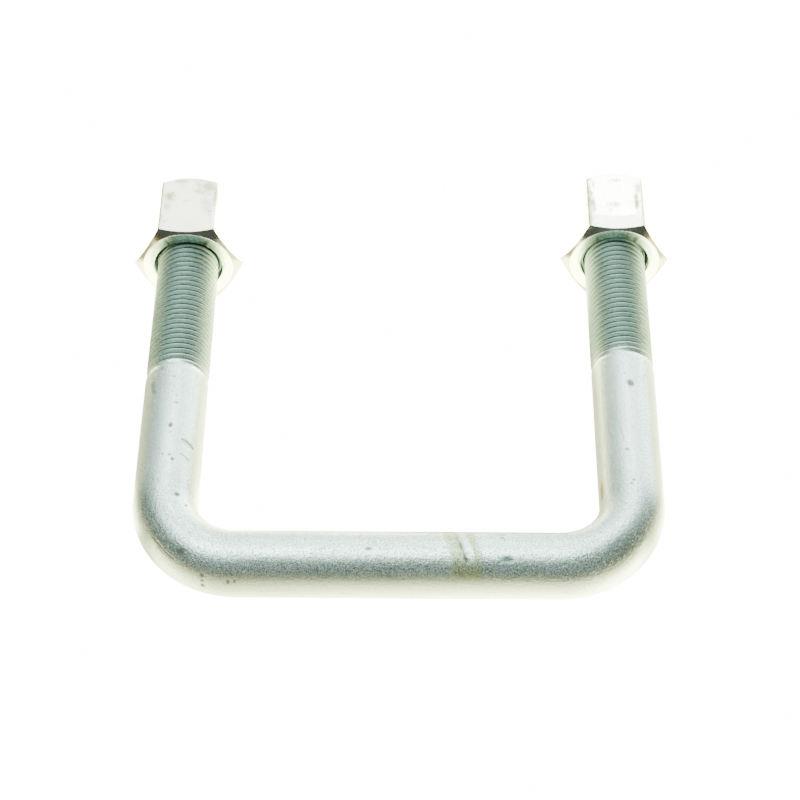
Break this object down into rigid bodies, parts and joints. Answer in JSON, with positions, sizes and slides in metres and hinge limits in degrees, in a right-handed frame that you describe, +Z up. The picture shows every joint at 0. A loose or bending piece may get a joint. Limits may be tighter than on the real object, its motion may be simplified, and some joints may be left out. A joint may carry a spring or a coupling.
{
  "type": "u-bolt",
  "caption": "Square-bend U-bolt with threaded legs and tall hexagon nuts, for clamping a plate or bracket to a rectangular bar, beam or axle.",
  "frame": {"origin": "middle of the lower side of the bounding box, on the surface that the bolt lies on", "axes": "+X across the legs along the crossbar, +Y from the crossbar towards the free ends of the legs, +Z up; the legs rise 2.61 degrees towards +Y, as the bolt rests on its crossbar and its nuts, which are taller than the rod"},
  "size_m": [0.1246, 0.1172, 0.0229],
  "materials": {
    "zinc_rod": "bright zinc plate over drawn steel, satin, slightly grainy, with a rolled thread",
    "zinc_nut": "bright zinc plate over machined steel, semi-bright, with faint yellowish stains"
  },
  "bodies": {
    "bolt": {"u_bolt": "zinc_rod"},
    "left_nut": {"nut_left": "zinc_nut"},
    "right_nut": {"nut_right": "zinc_nut"}
  },
  "joints": [
    {"name": "left_nut_travel", "type": "slide", "parent": "bolt", "child": "left_nut", "axis": [0, 0.999, 0.0456], "range_m": [-0.033, 0.021]},
    {"name": "right_nut_travel", "type": "slide", "parent": "bolt", "child": "right_nut", "axis": [0, 0.999, 0.0456], "range_m": [-0.0315, 0.018]}
  ]
}
